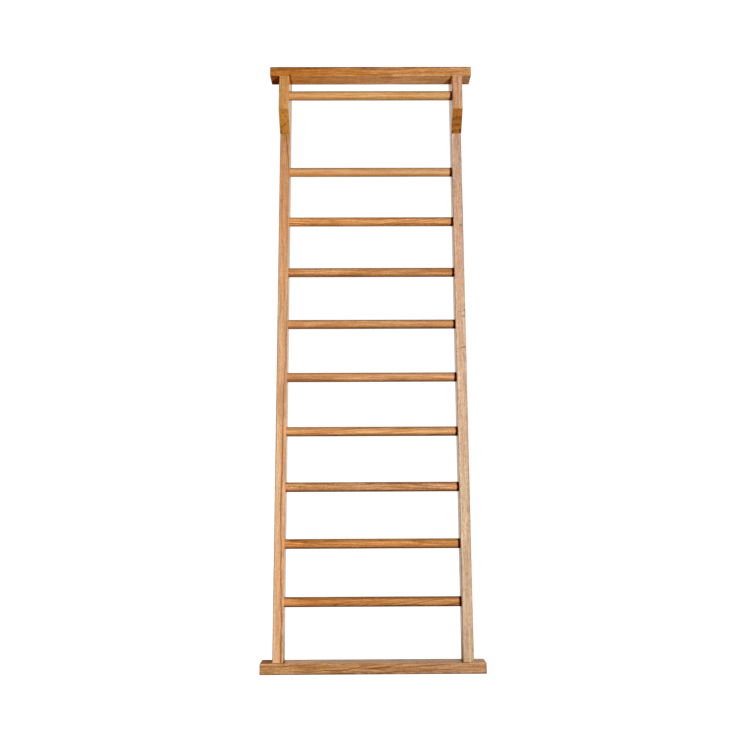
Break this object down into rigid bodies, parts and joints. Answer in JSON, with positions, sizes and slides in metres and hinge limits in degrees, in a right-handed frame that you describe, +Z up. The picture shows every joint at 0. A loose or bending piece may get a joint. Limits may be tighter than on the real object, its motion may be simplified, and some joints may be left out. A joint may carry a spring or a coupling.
{
  "type": "swedish wall bars",
  "caption": "Tall wooden climbing frame for a wall, with round rungs between two posts, a pull-up bar held forward at the top, and a beam across the head and the foot.",
  "frame": {"origin": "centre of the bottom beam's underside, on the floor", "axes": "+Z up, +X to the right seen from the front, +Y towards the wall"},
  "size_m": [0.763, 0.132, 2.165],
  "materials": {
    "post_wood": "oiled",
    "head_wood": "oiled",
    "beam_wood": "oiled",
    "rung_wood": "oiled, satin",
    "dowel_wood": "raw",
    "zinc_steel": "zinc plated",
    "plate_steel": "zinc plated"
  },
  "bodies": {
    "root": {"post_left": "post_wood", "head_block_left": "head_wood", "foot_bolt_left": "zinc_steel", "foot_barrel_nut_left": "zinc_steel", "foot_dowel_left": "dowel_wood", "head_bolt_left": "zinc_steel", "head_barrel_nut_left": "zinc_steel", "head_dowel_left": "dowel_wood", "block_screw_left_lower": "zinc_steel", "block_screw_left_upper": "zinc_steel", "top_bar_lock_screw_left": "zinc_steel", "hanger_plate_left_lower": "plate_steel", "hanger_screw_left_lower_low": "zinc_steel", "hanger_screw_left_lower_high": "zinc_steel", "hanger_plate_left_upper": "plate_steel", "hanger_screw_left_upper_low": "zinc_steel", "hanger_screw_left_upper_high": "zinc_steel", "post_right": "post_wood", "head_block_right": "head_wood", "foot_bolt_right": "zinc_steel", "foot_barrel_nut_right": "zinc_steel", "foot_dowel_right": "dowel_wood", "head_bolt_right": "zinc_steel", "head_barrel_nut_right": "zinc_steel", "head_dowel_right": "dowel_wood", "block_screw_right_lower": "zinc_steel", "block_screw_right_upper": "zinc_steel", "top_bar_lock_screw_right": "zinc_steel", "hanger_plate_right_lower": "plate_steel", "hanger_screw_right_lower_low": "zinc_steel", "hanger_screw_right_lower_high": "zinc_steel", "hanger_plate_right_upper": "plate_steel", "hanger_screw_right_upper_low": "zinc_steel", "hanger_screw_right_upper_high": "zinc_steel", "bottom_beam": "beam_wood", "top_beam": "beam_wood", "rung_1": "rung_wood", "rung_lock_screw_1": "zinc_steel", "rung_2": "rung_wood", "rung_lock_screw_2": "zinc_steel", "rung_3": "rung_wood", "rung_lock_screw_3": "zinc_steel", "rung_4": "rung_wood", "rung_lock_screw_4": "zinc_steel", "rung_5": "rung_wood", "rung_lock_screw_5": "zinc_steel", "rung_6": "rung_wood", "rung_lock_screw_6": "zinc_steel", "rung_7": "rung_wood", "rung_lock_screw_7": "zinc_steel", "rung_8": "rung_wood", "rung_lock_screw_8": "zinc_steel", "rung_9": "rung_wood", "rung_lock_screw_9": "zinc_steel", "top_bar": "rung_wood"}
  },
  "joints": []
}
